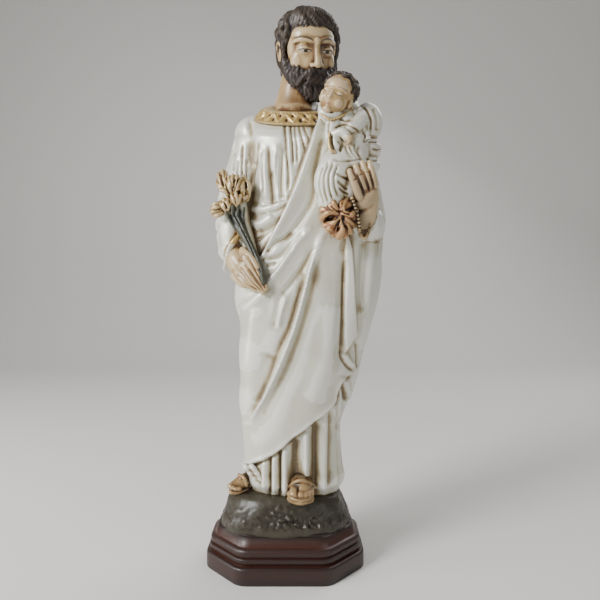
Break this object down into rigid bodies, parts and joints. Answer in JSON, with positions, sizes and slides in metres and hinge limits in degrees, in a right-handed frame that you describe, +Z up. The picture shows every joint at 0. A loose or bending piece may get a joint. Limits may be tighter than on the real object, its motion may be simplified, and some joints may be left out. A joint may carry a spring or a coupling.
{
  "type": "painted plaster saint statue",
  "caption": "Standing bearded saint in a cream tunic and mantle who carries a child on one arm and holds a lily, on a dark rocky mound and a stepped eight-sided plinth, cast in one piece.",
  "frame": {"origin": "Middle of the plinth's underside, on the surface that the statue stands on.", "axes": "+Z up, -Y is the way the figure faces, +X is to the right of someone who looks at its front."},
  "size_m": [0.1276, 0.0889, 0.3967],
  "materials": {
    "painted_plaster": "painted plaster under gloss varnish"
  },
  "bodies": {
    "root": {"statue": "painted_plaster"}
  },
  "joints": []
}
